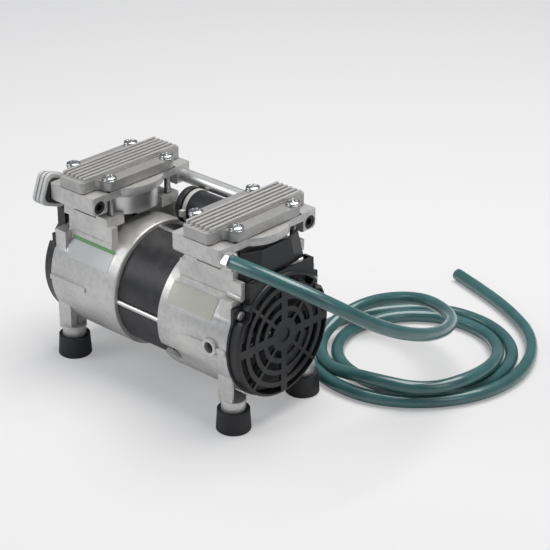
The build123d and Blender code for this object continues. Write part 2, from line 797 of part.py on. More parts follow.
plug_length = 8.0
plug_recess = 1.2
socket_r = 3.4
socket_depth = 4.0
plug_x = head_x + block_half_x - plug_recess
with BuildPart() as port_plugs:
    for plug_end_x, y in ((plug_x, port_y), (2 * pump_x - head_x + block_half_x - plug_recess, -port_y)):
        with BuildSketch(Plane.YZ.offset(plug_end_x)):
            with Locations((y, port_z)):
                Circle(port_r)
        extrude(amount=-plug_length)
        with BuildSketch(Plane.YZ.offset(plug_end_x)):
            with Locations((y, port_z)):
                RegularPolygon(socket_r, 6)
        extrude(amount=-socket_depth, mode=Mode.SUBTRACT)
write(port_plugs.part, "port_plugs")

fitting_x = head_x + block_half_x
hex_across = 14.0
hex_length = 6.5
collar_r = 4.6
collar_length = 2.0
thread_length = 8.0
fitting_bore_r = 2.6
with BuildPart() as hose_fitting:
    with BuildSketch(Plane.YZ.offset(fitting_x - thread_length)):
        with Locations((-port_y, port_z)):
            Circle(port_r)
    extrude(amount=thread_length)
    with BuildSketch(Plane.YZ.offset(fitting_x)):
        with Locations((-port_y, port_z)):
            RegularPolygon(hex_across / 2, 6, major_radius=False)
    extrude(amount=hex_length)
    with BuildSketch(Plane.YZ.offset(fitting_x + hex_length)):
        with Locations((-port_y, port_z)):
            Circle(collar_r)
    extrude(amount=collar_length)
    with BuildSketch(Plane.YZ.offset(fitting_x - thread_length)):
        with Locations((-port_y, port_z)):
            Circle(fitting_bore_r)
    extrude(amount=thread_length + hex_length + collar_length, mode=Mode.SUBTRACT)
write(hose_fitting.part, "hose_fitting")

plate_count = 3
plate_size = 29.5
plate_thickness = 3.0
plate_pitch = 4.6
plate_corner = 6.0
plate_turn = -21.0
silencer_size = 23.0
silencer_neck = 1.4
silencer_x = 2 * pump_x - head_x - block_half_x
silencer_length = silencer_neck + plate_count * plate_pitch - (plate_pitch - plate_thickness)
with BuildPart() as silencer_body:
    with BuildSketch(Plane.YZ.offset(silencer_x)):
        with Locations((-port_y, port_z)):
            RectangleRounded(silencer_size, silencer_size, plate_corner, rotation=plate_turn)
    extrude(amount=-silencer_length + plate_thickness / 2)
    with BuildSketch(Plane.YZ.offset(silencer_x)):
        with Locations((-port_y, port_z)):
            Circle(port_r)
    extrude(amount=thread_length)
write(silencer_body.part, "silencer_body")

with BuildPart() as silencer_plates:
    for index in range(plate_count):
        face_x = silencer_x - silencer_length + index * plate_pitch
        with BuildSketch(Plane.YZ.offset(face_x)):
            with Locations((-port_y, port_z)):
                RectangleRounded(plate_size, plate_size, plate_corner, rotation=plate_turn)
                if index > 0:
                    RectangleRounded(silencer_size, silencer_size, plate_corner, rotation=plate_turn, mode=Mode.SUBTRACT)
        extrude(amount=plate_thickness)
    with BuildSketch(Plane.YZ.offset(silencer_x - silencer_length + plate_thickness)):
        with Locations((-port_y, port_z)):
            RectangleRounded(silencer_size, silencer_size, plate_corner, rotation=plate_turn)
    extrude(amount=-plate_thickness / 2, mode=Mode.SUBTRACT)
write(silencer_plates.part, "silencer_plates")

# ---------------------------------------------------------------- fan guards and air hoods
hub_disc_r = 14.0
hub_dimple_r = 7.0
hub_dimple_depth = 1.5
slot_insets = ((9.0, 3.0), (20.0, 13.5), (31.0, 24.5), (42.0, 35.5))
thick_spoke = 7.5
thin_spoke = 3.0
rim_thickness = 2.0
ear_half = 7.0
ear_thickness = 3.0
scallop_r = 5.4

with BuildPart() as front_fan_guard:
    with BuildSketch(Plane.YZ.offset(end_x)):
        with Locations((0, shaft_z)):
            Circle(guard_r)
    extrude(amount=guard_depth)
    fillet(front_fan_guard.edges().group_by(Axis.X)[-1], radius=3)
    with BuildSketch(Plane.YZ.offset(end_x)):
        with Locations((0, (shaft_z + guard_frame_top_z) / 2)):
            Rectangle(2 * guard_frame_half_y, guard_frame_top_z - shaft_z)
    extrude(amount=guard_frame_depth)
    with BuildSketch(Plane.YZ.offset(end_x)):
        with Locations((0, shaft_z)):
            Circle(guard_rim_r)
    extrude(amount=rim_thickness)
    with BuildSketch(Plane.YZ.offset(end_x)):
        with Locations((-guard_screw_y, guard_screw_z), (guard_screw_y, guard_screw_z)):
            Rectangle(2 * ear_half, 2 * ear_half)
    extrude(amount=ear_thickness)
    # hollow of the drum and of the frame
    with BuildSketch(Plane.YZ.offset(end_x)):
        with Locations((0, shaft_z)):
            Circle(guard_r - guard_wall)
    extrude(amount=guard_depth - guard_wall, mode=Mode.SUBTRACT)
    with BuildSketch(Plane.YZ.offset(end_x)):
        with Locations((0, (shaft_z + guard_frame_top_z) / 2)):
            Rectangle(2 * (guard_frame_half_y - guard_wall), guard_frame_top_z - shaft_z)
        with Locations((0, shaft_z)):
            Circle(guard_r, mode=Mode.SUBTRACT)
    extrude(amount=guard_frame_depth - guard_wall, mode=Mode.SUBTRACT)
    # rings of slots between four broad and four narrow spokes
    with BuildSketch(Plane.YZ.offset(end_x + guard_depth)):
        with Locations((0, shaft_z)):
            for inner_inset, outer_inset in slot_insets:
                Circle(guard_r - outer_inset)
                Circle(guard_r - inner_inset, mode=Mode.SUBTRACT)
            for turn in (0, 90):
                Rectangle(2 * guard_r, thick_spoke, rotation=turn, mode=Mode.SUBTRACT)
            for turn in (45, 135):
                Rectangle(2 * guard_r, thin_spoke, rotation=turn, mode=Mode.SUBTRACT)
    extrude(amount=-guard_wall, mode=Mode.SUBTRACT)
    with BuildSketch(Plane.YZ.offset(end_x + guard_depth)):
        with Locations((0, shaft_z)):
            Circle(hub_dimple_r)
    extrude(amount=-hub_dimple_depth, mode=Mode.SUBTRACT)
    # screw seats let into the side of the drum
    for side in (-1, 1):
        with BuildSketch(Plane.YZ.offset(end_x)):
            with Locations((0, shaft_z)):
                Circle(guard_r - guard_wall / 2)
            with Locations((side * guard_screw_y, guard_screw_z)):
                Circle(scallop_r + guard_wall / 2, mode=Mode.INTERSECT)
        extrude(amount=guard_depth - guard_wall / 2)
    with BuildSketch(Plane.YZ.offset(end_x + ear_thickness)):
        with Locations((-guard_screw_y, guard_screw_z), (guard_screw_y, guard_screw_z)):
            Circle(scallop_r)
    extrude(amount=guard_depth, mode=Mode.SUBTRACT)
    with BuildSketch(Plane.YZ.offset(end_x)):
        with Locations((-guard_screw_y, guard_screw_z), (guard_screw_y, guard_screw_z)):
            Circle(guard_screw_r + fit_gap)
    extrude(amount=ear_thickness, mode=Mode.SUBTRACT)
write_pair(front_fan_guard.part, "fan_guard")

# air hoods: faceted ducts that stand on the guard frame and close the front of the tower
hood_wall = 1.6
hood_drop = 0.5
hood_top_z = sleeve_top_z - hood_drop
block_x = head_x + block_half_x
side_y = guard_frame_half_y - seat_gap
hood_bottom = ((block_x + 0.6, side_y), (block_x + 5.9, side_y - 2.2), (block_x + 10.4, side_y - 17.2))
hood_top = ((block_x - 0.4, side_y - 4.2), (block_x + 2.6, side_y - 6.2), (block_x + 8.4, side_y - 21.7))


def hood_outline(corners, inset):
    """The mirrored outline of the duct, drawn in by a wall."""
    half = [(x - inset, y - inset) for x, y in corners[1:]]
    half = [(corners[0][0], corners[0][1] - inset)] + half
    return half + [(x, -y) for x, y in reversed(half)]


with BuildPart() as front_air_hood:
    with BuildSketch(Plane.XY.offset(guard_frame_top_z)):
        with BuildLine():
            Polyline(*hood_outline(hood_bottom, 0), close=True)
        make_face()
    with BuildSketch(Plane.XY.offset(hood_top_z)):
        with BuildLine():
            Polyline(*hood_outline(hood_top, 0), close=True)
        make_face()
    loft(ruled=True)
    with BuildSketch(Plane.XY.offset(guard_frame_top_z)):
        with BuildLine():
            Polyline(*hood_outline(hood_bottom, hood_wall), close=True)
        make_face()
    with BuildSketch(Plane.XY.offset(hood_top_z)):
        with BuildLine():
            Polyline(*hood_outline(hood_top, hood_wall), close=True)
        make_face()
    loft(ruled=True, mode=Mode.SUBTRACT)
    with BuildSketch(Plane.XY.offset(guard_frame_top_z)):
        with Locations((end_x + hood_wall, 0)):
            Rectangle(2 * hood_wall, 2 * (hood_bottom[1][1] - hood_wall))
    extrude(amount=hood_wall)
write_pair(front_air_hood.part, "air_hood")

screw_socket_r = 1.6
with BuildPart() as guard_screws:
    for side in (-1, 1):
        face_x = pump_x + side * (end_offset + ear_thickness)
        places = ((-guard_screw_y, guard_screw_z), (guard_screw_y, guard_screw_z))
        with BuildSketch(Plane.YZ.offset(face_x)):
            with Locations(*places):
                Circle(guard_screw_r)
        extrude(amount=-side * (guard_screw_reach + ear_thickness))
        with BuildSketch(Plane.YZ.offset(face_x)):
            with Locations(*places):
                Circle(guard_screw_head_r)
        extrude(amount=side * guard_screw_head_height)
        with BuildSketch(Plane.YZ.offset(face_x + side * guard_screw_head_height)):
            with Locations(*places):
                Circle(screw_socket_r)
        extrude(amount=-side * guard_screw_head_height / 2, mode=Mode.SUBTRACT)
write(guard_screws.part, "guard_screws")

# ---------------------------------------------------------------- run capacitor
capacitor_x = pump_x - capacitor_length / 2
capacitor_cap_length = 7.0
cap_overlap_r = 0.9
saddle_width = 26.0
saddle_x = pump_x + 4.0
saddle_length = 30.0
strap_width = 4.6
strap_thickness = 0.8
strap_x = capacitor_x + 9.0
strap_head = 6.0
saddle_wrap = 5.0
saddle_foot = 12.0

with BuildPart() as capacitor:
    with BuildSketch(Plane.YZ.offset(capacitor_x + capacitor_cap_length)):
        with Locations((capacitor_y, capacitor_z)):
            Circle(capacitor_r - cap_overlap_r)
    extrude(amount=capacitor_length - capacitor_cap_length)
    fillet(capacitor.edges().group_by(Axis.X)[-1], radius=2)
write(capacitor.part, "capacitor")

with BuildPart() as capacitor_cap:
    with BuildSketch(Plane.YZ.offset(capacitor_x)):
        with Locations((capacitor_y, capacitor_z)):
            Circle(capacitor_r)
    extrude(amount=capacitor_cap_length)
    fillet(capacitor_cap.edges().group_by(Axis.X)[0], radius=1.2)
    with BuildSketch(Plane.YZ.offset(capacitor_x)):
        with Locations((capacitor_y, capacitor_z)):
            Circle(capacitor_r - 3 * cap_overlap_r)
    extrude(amount=2 * cap_overlap_r, mode=Mode.SUBTRACT)
write(capacitor_cap.part, "capacitor_cap")

saddle_plane = Plane((saddle_x, 0, shaft_z), x_dir=(1, 0, 0), z_dir=(0, capacitor_y, capacitor_z - shaft_z))
with BuildPart() as capacitor_saddle:
    with BuildSketch(saddle_plane.offset(stator_r - saddle_foot)):
        Rectangle(saddle_length, saddle_width)
    extrude(amount=saddle_foot + capacitor_lift + saddle_wrap)
    with BuildSketch(Plane.YZ.offset(lip_x)):
        with Locations((0, shaft_z)):
            Circle(stator_r)
        with Locations((capacitor_y, capacitor_z)):
            Circle(capacitor_r - cap_overlap_r)
    extrude(amount=-2 * lip_offset, mode=Mode.SUBTRACT)
write(capacitor_saddle.part, "capacitor_saddle")

with BuildPart() as capacitor_strap:
    with BuildSketch(Plane.YZ.offset(strap_x)):
        with Locations((capacitor_y, capacitor_z)):
            Circle(capacitor_r - cap_overlap_r + strap_thickness)
            with Locations((-capacitor_r - strap_thickness, 0)):
                Rectangle(strap_head, strap_head)
            Circle(capacitor_r - cap_overlap_r, mode=Mode.SUBTRACT)
    extrude(amount=strap_width)
write(capacitor_strap.part, "capacitor_strap")

# ---------------------------------------------------------------- feet
base_hole_depth = 8.0
bush_z = 11.0
stud_top_z = 29.8
with BuildPart() as rubber_feet:
    for place in foot_places:
        with BuildSketch(Plane.XY):
            with Locations(place):
                Circle(foot_base_r)
        with BuildSketch(Plane.XY.offset(foot_height)):
            with Locations(place):
                Circle(foot_top_r)
        loft()
    chamfer(rubber_feet.edges().group_by(Axis.Z)[0], length=0.8)
    with BuildSketch(Plane.XY):
        with Locations(*foot_places):
            Circle(base_hole_r)
    extrude(amount=base_hole_depth, mode=Mode.SUBTRACT)
    with BuildSketch(Plane.XY.offset(bush_z)):
        with Locations(*foot_places):
            Circle(bush_r)
    extrude(amount=foot_height - bush_z, mode=Mode.SUBTRACT)
write(rubber_feet.part, "rubber_feet")

with BuildPart() as foot_studs:
    with BuildSketch(Plane.XY.offset(bush_z)):
        with Locations(*foot_places):
            Circle(bush_r)
    extrude(amount=foot_height + foot_recess_depth - bush_z)
    with BuildSketch(Plane.XY.offset(bush_z)):
        with Locations(*foot_places):
            Circle(tapped_r)
    extrude(amount=stud_top_z - bush_z)
write(foot_studs.part, "foot_studs")

# ---------------------------------------------------------------- hose
hose_points = [
    (110.1, -51.5, 162.8),
    (142.1, -51.5, 162.8),
    (190.2, -30.5, 147.5),
    (209.0, 16.6, 112.1),
    (212.0, 67.9, 85.5),
    (202.3, 119.0, 67.0),
    (174.0, 168.2, 54.0),
    (117.0, 193.5, 45.0),
    (65.8, 171.0, 31.0),
    (56.6, 118.0, 13.4),
    (95.0, 79.0, 8.3),
    (155.4, 70.2, 22.4),
    (204.5, 93.0, 18.5),
    (223.5, 143.0, 21.6),
    (206.0, 200.0, 11.5),
    (168.5, 235.5, 6.3),
    (116.8, 237.6, 6.3),
    (76.1, 207.0, 6.3),
    (61.0, 148.7, 6.3),
    (91.7, 98.1, 6.3),
    (148.9, 84.8, 6.3),
    (201.8, 109.5, 6.3),
    (225.3, 163.5, 6.3),
    (208.6, 223.3, 6.3),
    (156.0, 254.4, 6.3),
    (97.2, 246.2, 6.3),
    (59.3, 202.5, 6.3),
    (38.6, 150.0, 6.3),
    (54.5, 94.6, 6.3),
    (106.3, 64.1, 6.3),
    (164.8, 65.3, 6.3),
    (211.7, 102.1, 6.3),
    (235.6, 154.7, 6.3),
    (230.0, 212.0, 6.3),
    (198.2, 260.8, 6.3),
    (149.4, 289.4, 6.3),
    (104.2, 306.3, 6.3),
    (66.4, 318.0, 6.3),
]
hose_radii = []
for before, here, after in zip(hose_points, hose_points[1:], hose_points[2:]):
    run_in = Vector(*here) - Vector(*before)
    run_out = Vector(*after) - Vector(*here)
    half_turn = math.radians(run_in.get_angle(run_out) / 2)
    hose_radii.append(hose_run_share * min(run_in.length, run_out.length) / math.tan(half_turn))
with BuildPart() as hose:
    with BuildLine() as hose_route:
        FilletPolyline(*hose_points, radius=hose_radii)
    with BuildSketch(hose_route.line ^ 0):
        Circle(hose_r)
    sweep()
write(hose.part, "hose")
section = math.pi * hose_r**2
hose_length = hose_route.wires()[0].length
print("hose radii", [round(radius, 1) for radius in hose_radii])
print("hose length", round(hose_length, 1), "volume share", round(hose.part.volume / section / hose_length, 4))
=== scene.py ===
"""Twin-cylinder oil-free vacuum pump with its hose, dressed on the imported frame."""

import json
import math

import bmesh
import bpy
import numpy as np
from mathutils import Matrix, Vector


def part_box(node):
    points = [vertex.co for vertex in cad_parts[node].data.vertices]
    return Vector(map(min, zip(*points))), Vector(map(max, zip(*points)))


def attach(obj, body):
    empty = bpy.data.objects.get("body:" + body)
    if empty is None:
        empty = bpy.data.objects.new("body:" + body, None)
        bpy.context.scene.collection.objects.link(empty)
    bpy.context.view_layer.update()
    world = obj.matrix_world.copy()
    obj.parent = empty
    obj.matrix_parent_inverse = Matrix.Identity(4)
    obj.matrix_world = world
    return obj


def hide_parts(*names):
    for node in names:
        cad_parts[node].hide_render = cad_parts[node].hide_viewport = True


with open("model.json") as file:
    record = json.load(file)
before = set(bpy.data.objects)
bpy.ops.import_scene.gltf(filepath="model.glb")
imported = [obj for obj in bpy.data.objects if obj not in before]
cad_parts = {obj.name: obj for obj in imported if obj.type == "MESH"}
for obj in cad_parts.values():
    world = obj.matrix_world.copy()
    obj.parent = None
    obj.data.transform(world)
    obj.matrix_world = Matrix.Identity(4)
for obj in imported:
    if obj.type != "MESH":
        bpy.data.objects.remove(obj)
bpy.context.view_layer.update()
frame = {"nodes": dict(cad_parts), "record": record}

bl_info = {
    "name": "Oil-free vacuum pump",
    "version": (1, 0, 0),
    "blender": (4, 5, 0),
    "location": "View3D > Sidebar > Pump",
    "description": "Finishes, labels, screws, hose and studio of a small vacuum pump",
    "category": "Object",
}


# ---------------------------------------------------------------- sizes and colours
def colour_choice(name, description, default):
    """A colour that the user can change."""
    return bpy.props.FloatVectorProperty(
        name=name,
        description=description,
        default=default,
        size=3,
        subtype="COLOR",
        min=0.0,
        max=1.0,
    )


def length_choice(name, description, default):
    """A length in metres that the user can change."""
    return bpy.props.FloatProperty(
        name=name,
        description=description,
        default=default,
        unit="LENGTH",
        min=0.0,
        precision=5,
    )


class PumpColours(bpy.types.PropertyGroup):
    """Colours of the pump's materials."""

    casting: colour_choice("Casting", "Die-cast aluminium", (0.60, 0.592, 0.575))
    # the dark tone is also the base of the painted shade between the covers' fins
    casting_dark: colour_choice(
        "Casting hollows", "Grime in the casting's grain", (0.43, 0.425, 0.42)
    )
    tube: colour_choice("Tube", "Drawn tube and bright screws", (0.72, 0.72, 0.71))
    black: colour_choice("Moulding", "Black moulded plastic", (0.0105, 0.011, 0.0125))
    stator: colour_choice("Stator", "Black varnish", (0.012, 0.012, 0.0135))
    rubber: colour_choice("Rubber", "Feet and gaskets", (0.013, 0.013, 0.014))
    silencer: colour_choice("Silencer", "Grey plates of the silencer", (0.50, 0.50, 0.495))
    hose: colour_choice("Hose", "Blue-green hose", (0.032, 0.112, 0.112))
    copper: colour_choice("Windings", "Varnished copper", (0.35, 0.13, 0.05))
    sticker: colour_choice("Sticker", "Blank pale sticker", (0.52, 0.52, 0.45))
    band: colour_choice(
        "Sticker band", "Plain band along the top of the rear sticker", (0.13, 0.33, 0.12)
    )


class PumpSizes(bpy.types.PropertyGroup):
    """Sizes of the dressed pieces."""

    hose_diameter: length_choice("Hose diameter", "Outside diameter of the hose", 0.012)
    washer_radius: length_choice(
        "Washer radius", "Outside radius of the washers under the head screws", 0.0066
    )
    head_radius: length_choice("Screw head radius", "Outside radius of the pan heads", 0.0062)
    edge: length_choice("Edge radius", "Softening of cast and moulded edges", 0.0004)
    sticker_gap: length_choice(
        "Sticker thickness", "How far a sticker's face stands off the casting", 0.0002
    )


# places on the pump that the dressed pieces are fitted to, in metres
SHAFT_HEIGHT = 0.080
SHELL_RADIUS = 0.059
TOWER_HALF_WIDTH = 0.0453
LEDGE_BELOW_COVER_TOP = 0.0044
WASHER_THICKNESS = 0.0012
SHANK_RADIUS = 0.003
FITTING_COLLAR_RADIUS = 0.00465
FITTING_HEXAGON_X = 0.1082
LAMINATION = 0.0011
MERGE_DISTANCE = 0.000001


# ---------------------------------------------------------------- material arithmetic
class Reading:
    """One output of a node. Arithmetic on it adds Math nodes to the same material."""

    def __init__(self, finish, socket):
        self.finish = finish
        self.socket = socket

    def sum_up(self, operation, *terms):
        """A Math node of the given operation over the terms."""
        node = self.finish.tree.nodes.new("ShaderNodeMath")
        node.operation = operation
        for slot, term in zip(node.inputs, terms):
            self.finish.feed(slot, term)
        return Reading(self.finish, node.outputs[0])

    def __add__(self, other):
        return self.sum_up("ADD", self, other)

    def __radd__(self, other):
        return self.sum_up("ADD", other, self)

    def __sub__(self, other):
        return self.sum_up("SUBTRACT", self, other)

    def __rsub__(self, other):
        return self.sum_up("SUBTRACT", other, self)

    def __mul__(self, other):
        return self.sum_up("MULTIPLY", self, other)

    def __rmul__(self, other):
        return self.sum_up("MULTIPLY", other, self)

    def wave(self):
        """The sine of the reading."""
        return self.sum_up("SINE", self)

    def step(self, low, high):
        """0 below low and 1 above high, with a smooth rise between them."""
        inputs = {0: self, 1: low, 2: high}
        smooth = {"interpolation_type": "SMOOTHSTEP"}
        return self.finish.make("ShaderNodeMapRange", 0, smooth, inputs)


def toned(tone, share):
    """A colour with every part multiplied by the share."""
    return tuple(share * part for part in tone)


class Finish:
    """A procedural material on object coordinates."""

    def __init__(self, name, roughness=0.5, metallic=0.0, coat=0.0):
        self.material = bpy.data.materials.new(name)
        self.material.use_nodes = True
        self.tree = self.material.node_tree
        self.shader = self.tree.nodes["Principled BSDF"]
        self.shader.inputs["Roughness"].default_value = roughness
        self.shader.inputs["Metallic"].default_value = metallic
        self.shader.inputs["Coat Weight"].default_value = coat
        self.place = self.make("ShaderNodeTexCoord", "Object")

    def feed(self, slot, term):
        """Links a reading to a socket, or sets a plain value on it."""
        if isinstance(term, Reading):
            self.tree.links.new(term.socket, slot)
        elif hasattr(slot.default_value, "__len__") and len(slot.default_value) == 4:
            slot.default_value = (*tuple(term)[:3], 1.0)
        else:
            slot.default_value = term

    def make(self, kind, output, settings=None, inputs=None):
        """Adds any node, with its settings and inputs, and returns the named output."""
        node = self.tree.nodes.new(kind)
        for name, value in (settings or {}).items():
            setattr(node, name, value)
        for name, value in (inputs or {}).items():
            self.feed(node.inputs[name], value)
        return Reading(self, node.outputs[output])

    def stretched(self, stretch):
        """The place scaled along each axis."""
        inputs = {"Vector": self.place, "Scale": stretch}
        return self.make("ShaderNodeMapping", "Vector", None, inputs)

    def noise(self, scale, detail=3.0, rough=0.5, stretch=None):
        """Fractal noise, about 0 to 1, with features about 1/scale metres wide."""
        place = self.stretched(stretch) if stretch else self.place
        inputs = {"Vector": place, "Scale": scale, "Detail": detail, "Roughness": rough}
        return self.make("ShaderNodeTexNoise", 0, None, inputs)

    def axis(self, name):
        """One coordinate of the place, in metres."""
        return self.make("ShaderNodeSeparateXYZ", name, None, {0: self.place})

    def mix(self, share, first, second):
        """A colour between the first, at share 0, and the second, at share 1."""
        inputs = {0: share, 6: first, 7: second}
        return self.make("ShaderNodeMix", 2, {"data_type": "RGBA"}, inputs)

    def paint(self, **readings):
        """Feeds shader sockets by name, with spaces written as underscores."""
        for name, term in readings.items():
            self.feed(self.shader.inputs[name.replace("_", " ")], term)
        return self

    def relief(self, height, distance, strength=1.0):
        """Bumps the surface by the height reading, in metres of distance."""
        inputs = {"Height": height, "Distance": distance, "Strength": strength}
        self.feed(self.shader.inputs["Normal"], self.make("ShaderNodeBump", 0, None, inputs))
        return self


def casting_finish(name, pale, dark, painted_fin_shade=None):
    """Die-cast aluminium: fine pitted grain, soft blotches of tone, grime in the low spots. The
    optional pair of heights paints shade into the hollows between the cover's fins, full below the
    first height and fading out by the second."""
    finish = Finish(name, metallic=0.6)
    grain_fine = finish.noise(1500, 2.0, 0.6)
    grain_wide = finish.noise(190, 4.0, 0.62)
    blotch = finish.noise(28, 3.0, 0.55)
    tone = (grain_wide * 0.55 + blotch * 0.45).step(0.30, 0.62)
    speck = grain_fine.step(0.36, 0.5)
    colour = finish.mix(tone * 0.75 + speck * 0.25, dark, pale)
    if painted_fin_shade:
        # painted shade: the hollows between the fins, and the flat floor round them, are darkened,
        # standing in for the shade that falls there
        height = finish.axis("Z") + grain_wide * 0.0006
        groove_shade = 1.0 - height.step(*painted_fin_shade)
        colour = finish.mix(groove_shade * 0.42, colour, toned(dark, 0.42))
    finish.paint(
        Base_Color=colour,
        Roughness=0.60 - blotch * 0.22 - speck * 0.08,
    )
    return finish.relief(grain_fine * 0.5 + grain_wide * 0.9, 0.00022, 0.75).material


def turned_finish(name, tone, rough):
    """Bright metal with fine streaks and slight smudges."""
    finish = Finish(name, metallic=1.0)
    streak = finish.noise(260, 3.0, 0.6, (0.2, 1.0, 1.0))
    smudge = finish.noise(60, 2.0)
    finish.paint(
        Base_Color=finish.mix(smudge * 0.5, tone, toned(tone, 0.78)),
        Roughness=streak * 0.18 + smudge * 0.12 + (rough - 0.12),
    )
    return finish.relief(streak, 0.00006, 0.4).material


def moulding_finish(name, tone, rough=0.42):
    """Moulded plastic: a fine spark texture and faint dust."""
    finish = Finish(name)
    spark = finish.noise(2200, 2.0, 0.5)
    dust = finish.noise(45, 4.0, 0.6).step(0.42, 0.8)
    lighter = tuple(min(1.0, part * 1.5 + 0.006) for part in tone)
    finish.paint(
        Base_Color=finish.mix(dust * 0.5, tone, lighter),
        Roughness=dust * 0.16 + spark * 0.1 + (rough - 0.05),
    )
    return finish.relief(spark, 0.00005, 0.6).material


def stator_finish(name, tone):
    """Black varnish over a stack of laminations, a sine wave along the shaft."""
    finish = Finish(name)
    layers = (finish.axis("X") * (2 * math.pi / LAMINATION)).wave()
    cloud = finish.noise(70, 3.0)
    finish.paint(
        Base_Color=finish.mix(cloud.step(0.4, 0.75), tone, toned(tone, 2.6)),
        Roughness=cloud * 0.2 + 0.3,
    )
    return finish.relief(layers * 0.5 + cloud * 0.6, 0.00012, 0.7).material


def rubber_finish(name, tone):
    """Matt rubber with a faint bloom."""
    finish = Finish(name)
    bloom = finish.noise(90, 4.0, 0.65)
    fine = finish.noise(1400, 2.0)
    finish.paint(
        Base_Color=finish.mix(bloom.step(0.45, 0.8) * 0.6, tone, toned(tone, 2.4)),
        Roughness=bloom * 0.15 + 0.56,
    )
    return finish.relief(fine, 0.00004, 0.5).material


def hose_finish(name, tone):
    """Glossy soft hose: a smooth wall with slight ripples, and a cloudy depth of colour."""
    finish = Finish(name, coat=0.6)
    finish.shader.inputs["Coat Roughness"].default_value = 0.12
    cloud = finish.noise(34, 3.0, 0.5)
    ripple = finish.noise(120, 2.0, 0.5)
    finish.paint(
        Base_Color=finish.mix(cloud.step(0.3, 0.7), toned(tone, 0.82), toned(tone, 1.16)),
        Roughness=ripple * 0.14 + 0.24,
    )
    return finish.relief(ripple, 0.0001, 0.35).material


def winding_finish(name, tone):
    """Varnished copper wire, wound round the ring."""
    finish = Finish(name, metallic=0.7)
    wire = finish.noise(900, 2.0, 0.5, (1.0, 0.12, 0.12))
    finish.paint(
        Base_Color=finish.mix(wire, tone, toned(tone, 0.4)),
        Roughness=wire * 0.2 + 0.25,
    )
    return finish.relief(wire, 0.0003).material


def sticker_finish(name, tone):
    """Blank printed film with slight waves and patches of grime."""
    finish = Finish(name)
    wave = finish.noise(60, 2.0)
    soil = finish.noise(140, 4.0, 0.7).step(0.5, 0.85)
    finish.paint(
        Base_Color=finish.mix(soil * 0.35, tone, toned(tone, 0.62)),
        Roughness=wave * 0.2 + 0.4,
    )
    return finish.relief(wave, 0.00015, 0.4).material


# ---------------------------------------------------------------- surfaces
def quads(rows, columns, closed_columns=True):
    """Faces of a grid of rows by columns of points, joined round the columns where it closes."""
    last = columns if closed_columns else columns - 1
    row, column = np.meshgrid(np.arange(rows - 1), np.arange(last), indexing="ij")
    after = (column + 1) % columns
    here, above = row * columns, (row + 1) * columns
    corners = (here + column, here + after, above + after, above + column)
    return np.stack(corners, axis=-1).reshape(-1, 4)


def piece(name, parts, finish, body, closed=True):
    """One object at the origin from a list of (points, faces), with its finish and body.
    On a closed piece the points that meet at poles and seams are merged, and the faces are turned
    outwards."""
    points = np.concatenate([part[0] for part in parts])
    starts = np.cumsum([0] + [len(part[0]) for part in parts[:-1]])
    faces = np.concatenate([part[1] + start for part, start in zip(parts, starts)])
    mesh = bpy.data.meshes.new(name)
    mesh.from_pydata(points.tolist(), [], faces.tolist())
    if closed:
        shell = bmesh.new()
        shell.from_mesh(mesh)
        bmesh.ops.remove_doubles(shell, verts=shell.verts, dist=MERGE_DISTANCE)
        bmesh.ops.recalc_face_normals(shell, faces=shell.faces)
        shell.to_mesh(mesh)
        shell.free()
    mesh.polygons.foreach_set("use_smooth", np.ones(len(mesh.polygons), bool))
    mesh.update()
    made = bpy.data.objects.new(name, mesh)
    bpy.context.scene.collection.objects.link(made)
    mesh.materials.append(finish)
    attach(made, body)
    return made


def soften(made, width):
    """Rounds the edges of a piece that are sharper than 32 degrees, in two steps."""
    weld = made.modifiers.new("weld", "WELD")
    weld.merge_threshold = 2 * MERGE_DISTANCE
    bevel = made.modifiers.new("edges", "BEVEL")
    bevel.width = width
    bevel.segments = 2
    bevel.limit_method = "ANGLE"
    bevel.angle_limit = math.radians(32.0)
    bevel.harden_normals = True
    bevel.use_clamp_overlap = True


def turned(profile, around=48):
    """A profile of (radius, height) turned about the upright axis: x = r cos a, y = r sin a and
    z = h."""
    radius, height = np.asarray(profile, float).T
    angle = np.linspace(0, 2 * math.pi, around, endpoint=False)
    x = radius[:, None] * np.cos(angle)
    y = radius[:, None] * np.sin(angle)
    z = np.broadcast_to(height[:, None], x.shape)
    return np.stack([x, y, z], axis=-1).reshape(-1, 3), quads(len(radius), around)


def placed(surface, centre, turn):
    """A surface turned by a 3 by 3 matrix and then moved to its centre."""
    points, faces = surface
    return points @ np.asarray(turn, float).T + np.asarray(centre, float), faces


# turns a surface of revolution from the upright axis to the shaft's direction
ALONG_X = ((0, 0, 1), (1, 0, 0), (0, 1, 0))


def pan_screw(head_radius, head_height, washer_radius, washer, shank_radius, shank):
    """A pan head on a washer and shank. The top is a dome whose height falls with the power 2.6
    of the radius, and the cross recess sinks it by depth times the larger of two ramps, each
    across one arm of the cross."""
    rings = np.linspace(0.0, 1.0, 22)
    dome_radius = head_radius * rings
    dome_height = washer + head_height * (1 - 0.42 * rings**2.6)
    angle = np.linspace(0, 2 * math.pi, 80, endpoint=False)
    x = dome_radius[:, None] * np.cos(angle)
    y = dome_radius[:, None] * np.sin(angle)
    arm = 0.145 * head_radius
    reach = 0.60 * head_radius
    thin_x, thin_y = (np.clip((arm - np.abs(t)) / (0.35 * arm), 0, 1) for t in (x, y))
    long_x, long_y = (np.clip((reach - np.abs(t)) / (0.3 * reach), 0, 1) for t in (x, y))
    ramp = np.maximum(thin_x * long_y, thin_y * long_x)
    z = dome_height[:, None] - 0.62 * head_height * ramp
    top = np.stack([x, y, z], axis=-1).reshape(-1, 3)
    top_faces = quads(len(rings), len(angle))[:, ::-1]
    chamfer = 0.0004
    side = [
        (head_radius, washer + 0.58 * head_height),
        (head_radius, washer + 0.2 * head_height),
        (0.96 * head_radius, washer),
        (washer_radius - chamfer, washer),
        (washer_radius, washer - 0.75 * chamfer),
        (washer_radius, 0.0),
        (shank_radius, 0.0),
        (shank_radius, -shank),
        (0.0, -shank),
    ]
    points, faces = turned(side, len(angle))
    return np.concatenate([top, points]), np.concatenate([top_faces, faces[:, ::-1] + len(top)])


